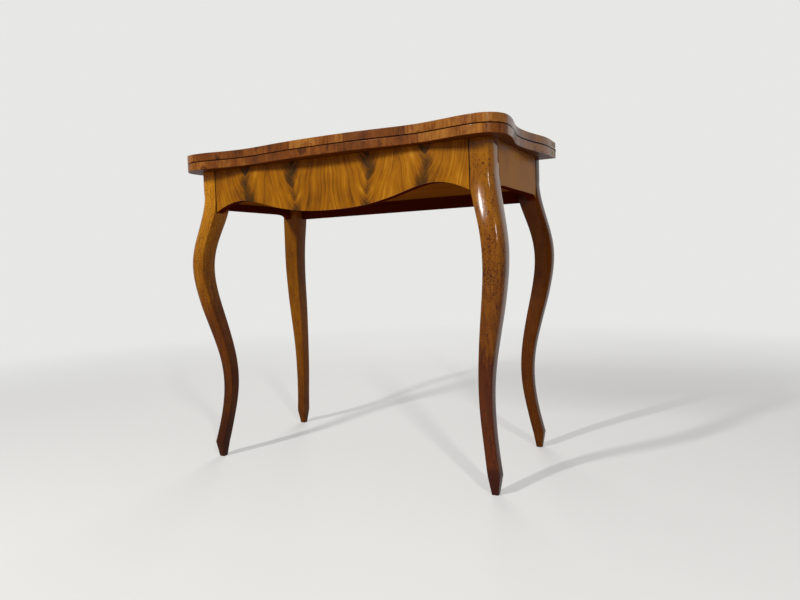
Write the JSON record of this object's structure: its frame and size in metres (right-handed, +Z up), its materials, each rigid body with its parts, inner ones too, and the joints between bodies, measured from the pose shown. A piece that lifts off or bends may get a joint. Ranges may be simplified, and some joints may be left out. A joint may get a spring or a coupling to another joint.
{
  "type": "folding game table",
  "caption": "Folding game table: a serpentine two-leaf top swivels a quarter turn and unfolds over a shallow frame with a card well, on curved legs.",
  "frame": {"origin": "on the floor under the middle of the closed table", "axes": "+X to the right along the front, +Y from the front to the back, +Z up"},
  "size_m": [0.835, 0.4446, 0.76],
  "materials": {
    "leg_walnut": "polished",
    "flame_veneer": "polished",
    "plain_veneer": "polished",
    "show_veneer": "polished",
    "playing_veneer": "polished",
    "edge_band": "polished",
    "leaf_core": "oiled",
    "stained_core": "stained",
    "well_board": "raw",
    "pivot_beech": "raw",
    "plate_iron": "worn",
    "screw_steel": "worn",
    "hinge_brass": "tarnished"
  },
  "bodies": {
    "frame": {"leg_front_left": "leg_walnut", "leg_front_right": "leg_walnut", "leg_back_left": "leg_walnut", "leg_back_right": "leg_walnut", "front_apron": "stained_core", "left_apron": "stained_core", "right_apron": "stained_core", "front_veneer_outer_left": "flame_veneer", "front_veneer_inner_left": "flame_veneer", "front_veneer_inner_right": "flame_veneer", "front_veneer_outer_right": "flame_veneer", "left_veneer": "plain_veneer", "right_veneer": "plain_veneer", "back_rail": "stained_core", "well_bottom": "well_board", "well_partition": "well_board", "pivot_rail": "pivot_beech", "rail_plate": "plate_iron", "rail_plate_screws": "screw_steel"},
    "lower_leaf": {"lower_leaf_core": "leaf_core", "lower_playing_veneer": "playing_veneer", "leaf_plate": "plate_iron", "leaf_plate_screws": "screw_steel", "pivot_bolt": "plate_iron", "pivot_washer": "plate_iron", "pivot_nut": "plate_iron", "stop_block": "pivot_beech", "left_hinge_lower_plate": "hinge_brass", "right_hinge_lower_plate": "hinge_brass", "left_hinge_pin": "screw_steel", "right_hinge_pin": "screw_steel", "lower_hinge_screws": "screw_steel", "lower_leaf_front_band": "edge_band", "lower_leaf_left_band": "edge_band", "lower_leaf_right_band": "edge_band", "lower_leaf_rear_band": "edge_band"},
    "upper_leaf": {"upper_leaf_core": "leaf_core", "upper_playing_veneer": "playing_veneer", "upper_show_veneer": "show_veneer", "left_hinge_upper_plate": "hinge_brass", "right_hinge_upper_plate": "hinge_brass", "upper_hinge_screws": "screw_steel", "upper_leaf_front_band": "edge_band", "upper_leaf_left_band": "edge_band", "upper_leaf_right_band": "edge_band", "upper_leaf_rear_band": "edge_band"}
  },
  "joints": [
    {"name": "top_swivel", "type": "hinge", "parent": "frame", "child": "lower_leaf", "pos_m": [0.09475, 0.10075, 0.7211], "axis": [0, 0, 1], "range_deg": [0, 90]},
    {"name": "leaf_fold", "type": "hinge", "parent": "lower_leaf", "child": "upper_leaf", "pos_m": [0, 0.1955, 0.7407], "axis": [-1, 0, 0], "range_deg": [0, 180]}
  ]
}
